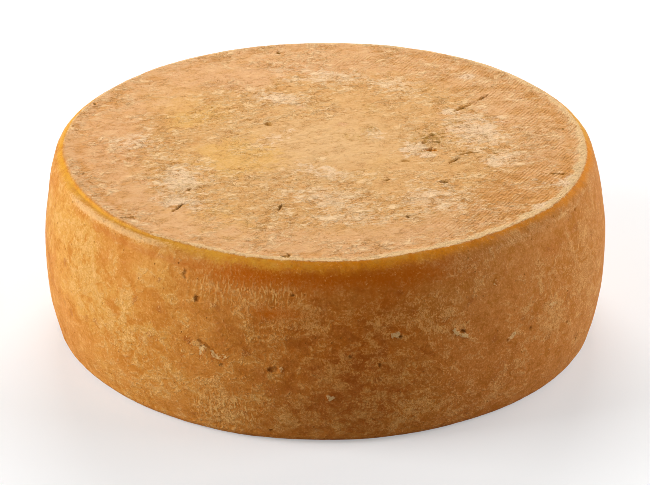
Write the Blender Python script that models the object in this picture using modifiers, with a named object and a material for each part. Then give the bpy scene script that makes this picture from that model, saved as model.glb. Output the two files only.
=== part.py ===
"""A whole wheel of pressed, washed-rind cheese, lying on its flat lower face.

The wheel is one turned solid. From the top centre outwards it has a nearly flat face, a low raised
lip round that face, a steep shoulder, a bulging side and a rounded foot round a flat lower face.
Part of the shoulder has a groove with a ridge under it, where the pressing mould met its lid. Slow
waves round the wheel keep it as uneven as a cheese that is pressed and turned by hand.

Units are metres. The origin is the middle of the lower face, and +Z is up.
"""

import math

import bpy

NAME = "cheese_wheel"

# The whole wheel
DIAMETER = 0.3006
HEIGHT = 0.1013

# The top face and its lip
FACE_SINK = 0.0009
LIP_WIDTH = 0.0080
RIM_RADIUS = 0.1379

# The shoulder, from the rim down to where the side starts
SHOULDER_WIDTH = 0.0049
SHOULDER_DROP = 0.0048
SHOULDER_POWER = 1.39

# The side, above and below its widest ring
BELLY_HEIGHT = 0.0529
UPPER_POWER = 1.71
LOWER_POWER = 2.74
LOWER_RADIUS = 0.1443

# The foot
FOOT_WIDTH = 0.0070
FOOT_DROP = 0.0060

# Points along each stretch of the outline, and steps round the wheel
FACE_STEPS = 4
LIP_STEPS = 4
SHOULDER_STEPS = 8
UPPER_STEPS = 7
LOWER_STEPS = 7
FOOT_STEPS = 5
TURN_STEPS = 96

# Slow waves: how many round the wheel, how far they reach and where they start
SIDE_WAVES = ((3, 0.00025, 0.7), (5, 0.0002, 2.1), (8, 0.00015, 4.0))
TOP_WAVES = ((5, 0.00012, 1.9), (11, 0.0001, 0.4))

# Places that stand out of the even round, or in: direction and half arc in degrees, then height,
# half height and reach outwards in metres
SWELLS = (
    (178, 34, 0.092, 0.012, 0.0009),
    (0, 26, 0.090, 0.012, 0.0004),
    (302, 40, 0.006, 0.012, 0.0006),
    (302, 26, 0.101, 0.005, -0.0028),
    (200, 20, 0.101, 0.006, -0.0008),
    (242, 12, 0.101, 0.005, -0.0014),
    (40, 30, 0.101, 0.006, 0.0005),
    (110, 24, 0.096, 0.010, -0.0009),
)
SWELL_STARTS = 0.120
SWELL_FULL = 0.132

# The groove and the ridge on part of the shoulder
GROOVE_MIDDLE = math.radians(219.0)
GROOVE_HALF_ARC = math.radians(31.0)
GROOVE_DEPTH = 0.0012
GROOVE_BELOW_TOP = 0.0018
RIDGE_RISE = 0.0006
RIDGE_BELOW_TOP = 0.0044
SHOULDER_BAND = 0.0016

MERGE_DISTANCE = 0.00005
SHARP_ANGLE = math.radians(50.0)
RIND_COLOUR = (0.60, 0.31, 0.09, 1.0)
RIND_ROUGHNESS = 0.5


def clear_scene():
    """Remove every object of the open scene."""
    for item in list(bpy.data.objects):
        bpy.data.objects.remove(item, do_unlink=True)


def top_points():
    """Outline of the top face and its lip, from the centre to the rim."""
    face_height = HEIGHT - FACE_SINK
    face_radius = RIM_RADIUS - LIP_WIDTH
    points = [(face_radius * step / FACE_STEPS, face_height) for step in range(FACE_STEPS)]
    for step in range(LIP_STEPS + 1):
        share = step / LIP_STEPS
        rise = 0.5 - 0.5 * math.cos(math.pi * share)
        points.append((face_radius + LIP_WIDTH * share, face_height + FACE_SINK * rise))
    return points


def shoulder_points():
    """Outline of the steep shoulder, below the rim."""
    points = []
    for step in range(1, SHOULDER_STEPS + 1):
        turn = 0.5 * math.pi * step / SHOULDER_STEPS
        across = math.sin(turn) ** (2.0 / SHOULDER_POWER)
        down = 1.0 - max(math.cos(turn), 0.0) ** (2.0 / SHOULDER_POWER)
        points.append((RIM_RADIUS + SHOULDER_WIDTH * across, HEIGHT - SHOULDER_DROP * down))
    return points


def side_points():
    """Outline of the bulging side, from the shoulder past the widest ring to the foot."""
    widest = 0.5 * DIAMETER
    top_radius = RIM_RADIUS + SHOULDER_WIDTH
    top_height = HEIGHT - SHOULDER_DROP
    points = []
    for step in range(1, UPPER_STEPS + 1):
        above = 1.0 - step / UPPER_STEPS
        radius = widest - (widest - top_radius) * above ** UPPER_POWER
        points.append((radius, BELLY_HEIGHT + (top_height - BELLY_HEIGHT) * above))
    for step in range(1, LOWER_STEPS + 1):
        below = step / LOWER_STEPS
        radius = widest - (widest - LOWER_RADIUS) * below ** LOWER_POWER
        points.append((radius, BELLY_HEIGHT - (BELLY_HEIGHT - FOOT_DROP) * below))
    return points


def foot_points():
    """Outline of the rounded foot and the flat lower face, ending at the centre."""
    inner = LOWER_RADIUS - FOOT_WIDTH
    points = []
    for step in range(1, FOOT_STEPS + 1):
        turn = 0.5 * math.pi * step / FOOT_STEPS
        points.append((inner + FOOT_WIDTH * math.cos(turn), FOOT_DROP * (1.0 - math.sin(turn))))
    points.append((0.5 * inner, 0.0))
    points.append((0.0, 0.0))
    return points


def turned_mesh(name, outline):
    """Turn an outline, given as radius and height from top to bottom, into a closed mesh."""
    profile = bpy.data.meshes.new(name + "_profile")
    vertices = [(radius, 0.0, height) for radius, height in outline]
    edges = [(index, index + 1) for index in range(len(outline) - 1)]
    profile.from_pydata(vertices, edges, [])
    guide = bpy.data.objects.new(name + "_profile", profile)
    bpy.context.scene.collection.objects.link(guide)
    screw = guide.modifiers.new("Turn", "SCREW")
    screw.axis = "Z"
    screw.steps = TURN_STEPS
    screw.render_steps = TURN_STEPS
    screw.use_merge_vertices = True
    screw.merge_threshold = MERGE_DISTANCE
    seen = guide.evaluated_get(bpy.context.evaluated_depsgraph_get())
    mesh = bpy.data.meshes.new_from_object(seen)
    bpy.data.objects.remove(guide, do_unlink=True)
    mesh.name = name
    return mesh


def smooth_step(share):
    """Ease from 0 to 1 as share goes from 0 to 1."""
    held = min(max(share, 0.0), 1.0)
    return held * held * (3.0 - 2.0 * held)


def wave(angle, terms):
    """Sum of the slow waves round the wheel at one angle."""
    return sum(reach * math.cos(count * angle + start) for count, reach, start in terms)


def arc_share(angle, middle, half_arc):
    """Weight of an arc of the wheel at one angle: 1 near its middle, 0 past its ends."""
    apart = math.remainder(angle - middle, 2.0 * math.pi)
    return smooth_step(1.6 * (1.0 - abs(apart) / half_arc))


def swelling(angle, radius, height):
    """How far the rind stands out of its even round at one place."""
    total = 0.0
    for degrees, half_arc, middle, half_height, out in SWELLS:
        away = (height - middle) / half_height
        share = arc_share(angle, math.radians(degrees), math.radians(half_arc))
        total += out * share * math.exp(-away * away)
    return total * smooth_step((radius - SWELL_STARTS) / (SWELL_FULL - SWELL_STARTS))


def band(height, below_top):
    """Bell-shaped weight round one ring of the shoulder."""
    away = (HEIGHT - below_top - height) / SHOULDER_BAND
    return math.exp(-away * away)


def make_uneven(mesh):
    """Add the swells, the slow waves, the groove and the ridge to the turned mesh."""
    for vertex in mesh.vertices:
        x, y, height = vertex.co
        radius = math.hypot(x, y)
        if radius < MERGE_DISTANCE:
            continue
        angle = math.atan2(y, x)
        raised = smooth_step(height / HEIGHT)
        near_rim = smooth_step((radius / RIM_RADIUS - 0.8) / 0.2)
        near_top = smooth_step((height / HEIGHT - 0.9) / 0.1)
        cut = arc_share(angle, GROOVE_MIDDLE, GROOVE_HALF_ARC)
        cut *= smooth_step((radius - RIM_RADIUS) / 0.001)
        moved = radius + swelling(angle, radius, height)
        moved += raised * (1.0 - near_top) * wave(angle, SIDE_WAVES)
        moved -= cut * GROOVE_DEPTH * band(height, GROOVE_BELOW_TOP)
        moved += cut * RIDGE_RISE * band(height, RIDGE_BELOW_TOP)
        lifted = height + near_top * near_rim * wave(angle, TOP_WAVES)
        vertex.co = (x * moved / radius, y * moved / radius, lifted)


def settle(mesh):
    """Bring the mesh to the stated size, with its box centred over the origin and its foot at 0."""
    sizes = (DIAMETER, DIAMETER, HEIGHT)
    lows = [min(vertex.co[axis] for vertex in mesh.vertices) for axis in range(3)]
    highs = [max(vertex.co[axis] for vertex in mesh.vertices) for axis in range(3)]
    anchors = [0.5 * (lows[0] + highs[0]), 0.5 * (lows[1] + highs[1]), lows[2]]
    for vertex in mesh.vertices:
        for axis in range(3):
            scale = sizes[axis] / (highs[axis] - lows[axis])
            vertex.co[axis] = (vertex.co[axis] - anchors[axis]) * scale


def rind_material():
    """Golden-brown rind."""
    material = bpy.data.materials.new("rind")
    material.use_nodes = True
    shader = material.node_tree.nodes["Principled BSDF"]
    shader.inputs["Base Color"].default_value = RIND_COLOUR
    shader.inputs["Roughness"].default_value = RIND_ROUGHNESS
    shader.inputs["Metallic"].default_value = 0.0
    return material


def build_wheel(collection):
    """Make the wheel and put it in the collection."""
    outline = top_points() + shoulder_points() + side_points() + foot_points()
    mesh = turned_mesh(NAME, outline)
    make_uneven(mesh)
    settle(mesh)
    mesh.materials.clear()
    mesh.materials.append(rind_material())
    mesh.shade_smooth()
    mesh.set_sharp_from_angle(angle=SHARP_ANGLE)
    wheel = bpy.data.objects.new(NAME, mesh)
    collection.objects.link(wheel)
    return wheel


def main():
    """Build the whole object."""
    clear_scene()
    collection = bpy.data.collections.new(NAME)
    bpy.context.scene.collection.children.link(collection)
    build_wheel(collection)


main()
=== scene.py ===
"""Looks of one whole wheel of washed-rind cheese, lying on a pale studio floor.

The wheel is one piece. Its rind starts as an even net of triangles, which is laid on the wheel's
outline and then worked like clay: slow waves, a pale lip round the top face, a honey-coloured
shoulder with a groove and a ridge on its left front, lumps, cloth marks, holes, cracks and flakes.
Its finish is mixed from the rind's own colours, with painted shade in its crevices, creases and
low spots, round its flakes and partly on its front, and painted light on its crests and glints on
its shoulder. Lengths are metres, and angles run from +X towards +Y.
"""

import functools
import logging
import math
from dataclasses import dataclass
from enum import Enum
from typing import Optional, Union

import bmesh
import bpy
import numpy as np
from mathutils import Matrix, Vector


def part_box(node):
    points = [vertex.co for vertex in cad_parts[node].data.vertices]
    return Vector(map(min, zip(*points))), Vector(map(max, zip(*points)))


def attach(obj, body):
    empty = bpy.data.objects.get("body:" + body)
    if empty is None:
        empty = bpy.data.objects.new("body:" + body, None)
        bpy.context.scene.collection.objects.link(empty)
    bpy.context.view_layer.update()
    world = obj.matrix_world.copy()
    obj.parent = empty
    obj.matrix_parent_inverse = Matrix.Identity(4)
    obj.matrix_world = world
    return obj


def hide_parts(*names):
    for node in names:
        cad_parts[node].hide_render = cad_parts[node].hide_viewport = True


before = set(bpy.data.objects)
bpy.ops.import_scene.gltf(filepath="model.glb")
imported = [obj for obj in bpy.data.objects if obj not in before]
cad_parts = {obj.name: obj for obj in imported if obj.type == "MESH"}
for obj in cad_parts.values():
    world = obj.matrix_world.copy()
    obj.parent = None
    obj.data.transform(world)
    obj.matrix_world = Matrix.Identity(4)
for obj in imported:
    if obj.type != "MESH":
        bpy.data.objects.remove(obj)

NODE = "cheese_wheel"
PIECE = "cheese_rind"
MM = 0.001
# How far noise bends a mark's outline, next to its half width.
BEND = 0.55
# How far the highest lumps stand out of the mean round.
PROUD = 0.3 * MM
# Distance that stands for a mark's being out of reach.
FAR = 99.0
# Brings the noise near to the range from -1 to 1.
NOISE_GAIN = 1.6
# Length of the table that pits are drawn from, and the primes that spread their cells over it.
PIT_ROWS = 4096
PIT_PRIMES = (73856093, 19349663, 83492791)

log = logging.getLogger("cheese")


def ease(values: np.ndarray) -> np.ndarray:
    """Smooth step: 0 below 0, 1 above 1, with a soft start and end."""
    held = np.clip(values, 0.0, 1.0)
    return held * held * (3.0 - 2.0 * held)


def bell(values: np.ndarray) -> np.ndarray:
    """Bell curve: 1 at 0, and nearly 0 beyond 2."""
    return np.exp(-values * values)


def turn_between(angles: np.ndarray, degrees: float) -> np.ndarray:
    """Signed angle in radians from a direction given in degrees to each angle."""
    apart = angles - math.radians(degrees)
    return (apart + math.pi) % (2.0 * math.pi) - math.pi


class Grain:
    """Smooth noise on arrays of points, the same on every run."""

    def __init__(self, seed: int) -> None:
        """Draw the noise's own table of slopes.

        Args:
            seed: Number that this noise is drawn from.
        """
        generator = np.random.default_rng(seed)
        self._order = generator.permutation(256)
        slopes = generator.normal(size=(256, 3))
        self._slopes = slopes / np.linalg.norm(slopes, axis=1)[:, None]

    def at(self, points: np.ndarray, size: float) -> np.ndarray:
        """Noise with lumps of one size.

        Args:
            points: Places, one a row.
            size: Width of a lump and its neighbouring hollow.

        Returns:
            One value a point, about -1 to 1.
        """
        scaled = points / size
        cell = np.floor(scaled).astype(np.int64)
        inside = scaled - cell
        share = inside ** 3 * (inside * (inside * 6.0 - 15.0) + 10.0)
        total = np.zeros(len(points))
        for corner in range(8):
            step = np.array([corner & 1, (corner >> 1) & 1, (corner >> 2) & 1])
            at = (cell + step) & 255
            row = self._order[at[:, 0]]
            row = self._order[(row + at[:, 1]) & 255]
            row = self._order[(row + at[:, 2]) & 255]
            slope = np.einsum("ij,ij->i", self._slopes[row], inside - step)
            weight = np.prod(np.where(step, share, 1.0 - share), axis=1)
            total += slope * weight
        return NOISE_GAIN * total

    def layers(self, points: np.ndarray, size: float, count: int, keep: float = 0.5) -> np.ndarray:
        """Noise summed over ever finer layers.

        Args:
            points: Places, one a row.
            size: Width of the coarsest lumps.
            count: How many layers.
            keep: Strength of each layer next to the one before.

        Returns:
            One value a point, about -1 to 1.
        """
        total = np.zeros(len(points))
        for layer in range(count):
            total += keep ** layer * self.at(points + 0.37 * layer, size / 2.0 ** layer)
        return total / math.sqrt(sum(keep ** (2 * layer) for layer in range(count)))


@dataclass
class Outline:
    """The wheel's outline, from the middle of the top face round to the middle of the foot."""

    radius: float
    height: float
    face_sink: float = 0.9 * MM
    lip_width: float = 8.0 * MM
    rim_radius: float = 137.9 * MM
    shoulder_width: float = 4.9 * MM
    shoulder_drop: float = 4.8 * MM
    shoulder_power: float = 1.39
    belly_height: float = 52.9 * MM
    upper_power: float = 1.71
    lower_power: float = 2.74
    lower_radius: float = 144.3 * MM
    foot_width: float = 7.0 * MM
    foot_drop: float = 6.0 * MM
    steps: int = 900

    def __post_init__(self) -> None:
        """Work out the outline's points, its length so far and its facing at each of them."""
        parts = [self._top(), self._shoulder(), self._side(), self._foot()]
        line = np.concatenate(parts)
        gaps = np.linalg.norm(np.diff(line, axis=0), axis=1)
        line = line[np.concatenate([[True], gaps > 1e-7])]
        self.line = line
        run = np.linalg.norm(np.diff(line, axis=0), axis=1)
        self.along = np.concatenate([[0.0], np.cumsum(run)])
        slope = np.gradient(line, self.along, axis=0)
        slope /= np.linalg.norm(slope, axis=1)[:, None]
        self.facing = np.stack([-slope[:, 1], slope[:, 0]], axis=1)
        self.rim = float(np.interp(self.rim_radius, line[: self.steps, 0], self.along[: self.steps]))
        foot = min(sum(len(part) for part in parts[:3]), len(line)) - 1
        foot_start = float(self.along[foot])
        self.base_start = foot_start + 0.5 * math.pi * 0.5 * (self.foot_width + self.foot_drop)

    def _top(self) -> np.ndarray:
        """Top face and lip.

        Returns:
            Distance from the axis and height of each point, from the middle outwards.
        """
        radius = np.linspace(0.0, self.rim_radius, self.steps)
        rise = ease((radius - self.rim_radius + self.lip_width) / self.lip_width)
        return np.stack([radius, self.height - self.face_sink * (1.0 - rise)], axis=1)

    def _shoulder(self) -> np.ndarray:
        """Steep shoulder below the rim.

        Returns:
            Distance from the axis and height of each point, downwards.
        """
        turn = np.linspace(0.0, 0.5 * math.pi, self.steps // 4)
        across = np.sin(turn) ** (2.0 / self.shoulder_power)
        down = 1.0 - np.maximum(np.cos(turn), 0.0) ** (2.0 / self.shoulder_power)
        radius = self.rim_radius + self.shoulder_width * across
        return np.stack([radius, self.height - self.shoulder_drop * down], axis=1)

    def _side(self) -> np.ndarray:
        """Bulging side, past its widest ring.

        Returns:
            Distance from the axis and height of each point, downwards.
        """
        share = np.linspace(0.0, 1.0, self.steps)
        top_radius = self.rim_radius + self.shoulder_width
        top_height = self.height - self.shoulder_drop
        upper = self.radius - (self.radius - top_radius) * (1.0 - share) ** self.upper_power
        upper_height = self.belly_height + (top_height - self.belly_height) * (1.0 - share)
        lower = self.radius - (self.radius - self.lower_radius) * share ** self.lower_power
        lower_height = self.belly_height - (self.belly_height - self.foot_drop) * share
        return np.concatenate([
            np.stack([upper, upper_height], axis=1),
            np.stack([lower, lower_height], axis=1),
        ])

    def _foot(self) -> np.ndarray:
        """Rounded foot and flat lower face.

        Returns:
            Distance from the axis and height of each point, down and inwards.
        """
        inner = self.lower_radius - self.foot_width
        turn = np.linspace(0.0, 0.5 * math.pi, self.steps // 4)
        radius = inner + self.foot_width * np.cos(turn)
        height = self.foot_drop * (1.0 - np.sin(turn))
        flat = np.linspace(inner, 0.0, self.steps)
        return np.concatenate([
            np.stack([radius, height], axis=1),
            np.stack([flat, np.zeros_like(flat)], axis=1),
        ])


@dataclass
class Skin:
    """The smooth wheel before any relief: one row for each point of the net.

    Attributes:
        points: Places on the smooth wheel.
        facing: Directions straight out of it.
        along: Length of the outline from the middle of the top face.
        angle: Direction round the wheel.
        height: Height above the floor.
        ragged: Noise that frays the marks' edges.
        sway: Two noises that bend the marks' outlines.
    """

    points: np.ndarray
    facing: np.ndarray
    along: np.ndarray
    angle: np.ndarray
    height: np.ndarray
    ragged: np.ndarray
    sway: tuple


class Form(Enum):
    """What a mark on the rind is."""

    HOLE = "hole"
    CRACK = "crack"
    FLAKE = "flake"
    BLOOM = "bloom"
    GOLD = "gold"
    BLUSH = "blush"
    CLOTH = "cloth"
    CALM = "calm"
    UMBER_AND_SHADE = "umber_and_shade"
    CRUMBLE = "crumble"
    RED = "red"
    AMBER = "amber"


SOFT_FORMS = (
    Form.BLOOM, Form.GOLD, Form.BLUSH, Form.CLOTH, Form.CALM, Form.UMBER_AND_SHADE, Form.CRUMBLE, Form.AMBER,
)


@dataclass(frozen=True)
class Mark:
    """One mark on the top face or on the side.

    Attributes:
        form: What it is.
        side: Whether it lies on the side.
        first: On the face, the place along X in mm. On the side, the direction in degrees.
        second: On the face, the place along Y in mm. On the side, the height in mm.
        long: Half length in mm.
        wide: Half width in mm.
        power: Strength of its colour.
        turn: Direction of the length in degrees.
        depth: Depth of a hole or a crack, or height of a flake, in mm.
    """

    form: Form
    side: bool
    first: float
    second: float
    long: float
    wide: float
    power: float = 1.0
    turn: float = 0.0
    depth: float = 0.0

    def reach(self, skin: Skin, outline: Outline) -> np.ndarray:
        """Distance of each point from the mark's middle, as 1 at its edge.

        Args:
            skin: The smooth wheel.
            outline: The wheel's outline.

        Returns:
            One value a point, large on the other stretches of the wheel.
        """
        if self.side:
            across = turn_between(skin.angle, self.first) * outline.radius
            up = skin.height - self.second * MM
            here = (skin.along > outline.rim) & (skin.along < outline.base_start)
        else:
            across = skin.points[:, 0] - self.first * MM
            up = skin.points[:, 1] - self.second * MM
            here = skin.along < outline.rim + 2.0 * MM
        bend = BEND * self.wide * MM
        across = across + bend * skin.sway[0]
        up = up + bend * skin.sway[1]
        turn = math.radians(self.turn)
        lengthwise = across * math.cos(turn) + up * math.sin(turn)
        crosswise = up * math.cos(turn) - across * math.sin(turn)
        far = np.hypot(lengthwise / (self.long * MM), crosswise / (self.wide * MM))
        return np.where(here, far, FAR)


def marks(form: Form, side: bool, rows: tuple) -> tuple:
    """Marks of one form.

    Args:
        form: What they are.
        side: Whether they lie on the side.
        rows: For each mark its place, half length and half width, then as far as they aren't 1, 0 and 0
            the strength of its colour, its turn and its depth.

    Returns:
        The marks.
    """
    return tuple(Mark(form, side, *row) for row in rows)


@dataclass(frozen=True)
class Swell:
    """A place where the rind stands out of its even round, or in.

    Attributes:
        degrees: Direction of its middle.
        half_arc: Degrees from its middle to its end.
        height: Height of its middle in mm.
        half_height: Distance from its middle to its top in mm.
        out: How far it stands out in mm, or in if it is below 0.
    """

    degrees: float
    half_arc: float
    height: float
    half_height: float
    out: float


SWELLS = (
    Swell(178, 34, 92, 12, 0.9),
    Swell(0, 26, 90, 12, 0.4),
    Swell(302, 40, 6, 12, 0.6),
    Swell(302, 26, 101, 5, -2.8),
    Swell(200, 20, 101, 6, -0.8),
    Swell(242, 12, 101, 5, -1.4),
    Swell(40, 30, 101, 6, 0.5),
    Swell(110, 24, 96, 10, -0.9),
)

FACE_MARKS = (
    *marks(Form.CALM, False, (
        (2, 6, 26, 22), (22, 33, 26, 18), (36, -22, 24, 22), (-52, -8, 22, 30, 0.5),
        (-40, 45, 20, 14, 0.5),
    )),
    *marks(Form.GOLD, False, (
        (-45, -12, 20, 24), (-72, 34, 22, 14, 0.8, 30), (-57, -96, 26, 14, 1, -30),
        (-88, 70, 20, 16, 0.6, 40), (30, -28, 22, 16, 0.35),
    )),
    *marks(Form.BLOOM, False, (
        (-26, 9, 8, 12), (-20, 18, 6, 5, 0.9), (-4, -30, 20, 10, 0.8, -25), (-75, -42, 12, 20, 0.9),
        (-74, -70, 14, 12, 0.8), (-102, 8, 13, 16, 0.7), (-26, 62, 16, 9, 0.8, -20),
        (0, 92, 36, 12, 0.6, -8), (36, 80, 20, 12, 0.5, -35), (82, 18, 16, 22, 0.9, 20),
        (92, -18, 14, 8, 0.8, 40), (66, 44, 10, 6, 0.8), (55, -64, 24, 18, 0.6, -40),
        (0, -66, 26, 16, 0.6, -20), (28, 12, 12, 8, 0.7), (10, -88, 34, 14, 0.5),
        (120, -42, 8, 18, 0.7, 20), (126, -46, 12, 4, 1, 70), (112, -73, 12, 3.5, 0.8, 57),
        (79, 92, 5, 3, 1.3), (46, -6, 6, 9, 1.6, -30), (52, -13, 8, 3),
    )),
    *marks(Form.BLUSH, False, (
        (-42, 82, 22, 12, 0.8, 10), (-5, 98, 30, 10, 0.5), (78, 26, 20, 24, 0.6), (9, 27, 3, 2, 1.2),
        (-14, 51, 4, 3), (-112, 2, 16, 24, 0.7),
    )),
    *marks(Form.CLOTH, False, (
        (98, -58, 36, 24, 1, 45), (114, 5, 16, 40, 0.7), (-118, -10, 18, 44, 0.15),
        (20, 112, 50, 16, 0.5), (-84, 78, 34, 18, 0.2, 40), (88, 78, 34, 18, 0.6, -40),
    )),
    *marks(Form.UMBER_AND_SHADE, False, (
        (98, -58, 34, 22, 0.6, 45), (-104, 4, 32, 74, 0.36),
    )),
    *marks(Form.HOLE, False, (
        (55.5, -5.5, 4.2, 2.3, 1.4, 0, 1.7), (57, 13.5, 1.8, 1.4, 0.8, 20, 1),
        (60, 3.5, 1.9, 1.3, 0.8, 0, 1.1), (53, 3, 2, 1.1, 0.7, 10, 0.9),
        (61.5, -45.5, 2.2, 1.5, 1, -20, 1.5), (32, -43, 2.2, 0.9, 0.8, 35, 0.9),
        (42, -87, 1.1, 1.7, 1.1, 0, 1.3), (42, -19, 2.6, 1.4, 0.7, 0, 0.8),
        (-30.5, 27, 2.4, 2, 0.6, 0, 1), (-26, 125, 1.2, 1.2, 1.2, 0, 0.9),
        (-125, 52, 1.2, 1.4, 1, 0, 0.8), (-19, -132, 2.4, 2.6, 0.9, 0, 1.1),
        (128, 22, 1.1, 1.1, 1, 0, 0.7),
    )),
    *marks(Form.RED, False, (
        (55.5, -5.5, 6, 4.5, 1.3),
    )),
    *marks(Form.CRUMBLE, False, (
        (55.5, 9, 7.5, 11, 0.9, -20), (70, 30, 10, 5, 0.5, 25), (24, 20, 5, 4, 0.7),
        (16, 11, 10, 5, 0.5, -10), (24, 46, 5, 7, 0.5), (82, 8, 7, 5, 0.5), (-73, -52, 8, 12, 0.4),
    )),
    *marks(Form.CRACK, False, (
        (-71, -55, 3, 0.9, 1.2, 55, 1.5), (-74.5, -75, 6.5, 0.9, 1.2, 62, 1.4),
        (-100, -88, 4.5, 0.9, 1, 15, 0.9), (-23, -76, 4.5, 0.8, 1, 80, 1.2),
        (121, -35.5, 6, 0.8, 1, -5, 1), (68, -19, 5.5, 0.9, 1, 50, 1.3),
        (76, -10, 6, 0.9, 0.9, 15, 1.2), (86, 62, 6, 0.9, 1, 50, 1.3), (74, 48, 12, 1, 0.7, 48, 1),
    )),
    *marks(Form.FLAKE, False, (
        (48, -9, 5, 3, 0.6, 30, 0.5), (-31, 30, 2.6, 1.6, 1, 0, 0.4), (-66, -51, 3, 1.6, 0.8, 0, 0.4),
    )),
)

SIDE_MARKS = (
    *marks(Form.HOLE, True, (
        (244.4, 77.5, 2.1, 1.6, 1, 40, 0.9), (241.4, 88.5, 1.4, 3, 0.3, 0, 0.6),
        (260.3, 44.8, 2.6, 2, 0.35, 0, 1), (250, 43.8, 1.8, 1.4, 0.35, 0, 0.6),
        (245.6, 52.6, 1, 0.6, 0.9, -20, 0.8), (248.4, 48.4, 1.3, 0.5, 0.9, -20, 0.8),
        (297.6, 58.4, 1.8, 1.2, 1.2, -40, 1.2), (284.6, 62, 1.1, 0.8, 1, 0, 0.8),
        (280.5, 47.6, 1.2, 0.9, 1, 0, 0.8), (274.9, 53, 0.8, 1.1, 0.8, 0, 0.6),
        (314.3, 46.6, 0.8, 1.4, 1, 0, 0.8), (259.2, 7.5, 1.2, 0.8, 1, 0, 0.8),
        (263.8, 85, 1.6, 0.9, 0.8, 20, 0.6), (333.5, 93.5, 1.2, 0.9, 1, 0, 0.6),
        (326.5, 37.5, 1.4, 0.9, 0.9, 0, 0.6),
    )),
    *marks(Form.CRACK, True, (
        (246.6, 53.6, 7, 0.9, 0.9, -26, 0.8), (332, 22, 3.5, 1, 0.8, 45, 0.7),
    )),
    *marks(Form.FLAKE, True, (
        (242.2, 54.4, 2.4, 1.7, 1.3, 0, 0.5), (244.2, 53.6, 3, 1.7, 1.5, -20, 0.6),
        (246.2, 51, 3.4, 2.2, 1.6, -20, 0.7), (248, 49.2, 3.4, 2.2, 1.6, -30, 0.8),
        (250, 48.2, 2.4, 1.7, 1.3, 0, 0.5), (234, 51.2, 3, 1.7, 1.2, 10, 0.5),
        (236.2, 50.2, 1.5, 1.2, 1, 0, 0.4), (241.2, 45, 1.4, 1, 0.8, 0, 0.3),
        (296, 59.2, 3.2, 1.7, 1.4, -48, 0.7), (297.9, 56, 3, 1.7, 1.4, -30, 0.7),
        (283.7, 63, 3.2, 1.8, 1.3, 20, 0.5), (309.4, 46.9, 3.6, 1.7, 1.2, 30, 0.5),
        (321, 54.6, 4.5, 2.2, 0.8, -8, 0.3), (271, 30, 3.2, 1.9, 1.4, 0, 0.5),
        (261.6, 45.4, 1.4, 2.2, 1, 0, 0.3), (305.6, 79, 1.6, 3, 0.7, -20, 0.3),
    )),
    *marks(Form.BLOOM, True, (
        (214, 74, 22, 20, 0.5), (226, 42, 34, 16, 0.5, -12), (249, 18, 12, 16, 0.9),
        (262, 70, 26, 10, 0.8), (284, 72, 34, 14, 0.6), (322, 46, 22, 12, 0.8, -20),
        (334, 62, 26, 30, 0.7), (290, 20, 40, 14, 0.5), (276, 50, 24, 12, 0.5), (264, 20, 22, 14, 0.5),
    )),
    *marks(Form.GOLD, True, (
        (207, 76, 36, 22, 0.9), (213, 50, 40, 16, 0.5), (307.5, 31.8, 22, 12, 0.5),
        (320, 86, 30, 7, 0.7),
    )),
    *marks(Form.BLUSH, True, (
        (306.6, 32.4, 4, 4, 0.9), (300, 91, 12, 5, 0.8), (310, 82, 8, 6, 0.6), (323, 83, 10, 5, 0.8),
        (262, 32, 18, 10, 0.5), (249, 66, 8, 6, 0.4), (272, 58, 20, 12, 0.4),
    )),
    # The darker front of the side, turned from the lamps, is partly umber rind and partly painted
    # shade.
    *marks(Form.UMBER_AND_SHADE, True, (
        (276, 50, 62, 60, 0.9), (300, 30, 70, 60, 0.45),
    )),
    *marks(Form.AMBER, True, (
        (260.5, 75.5, 15, 3.2, 0.9), (249, 83, 7, 3, 0.5), (281, 82, 13, 5, 0.5),
    )),
    *marks(Form.CALM, True, (
        (318, 88, 26, 6, 0.7), (250, 66, 9, 7, 0.9), (204, 24, 26, 22, 0.8), (304, 70, 12, 8, 0.5),
        (232, 88, 16, 8, 0.5),
    )),
)


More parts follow.
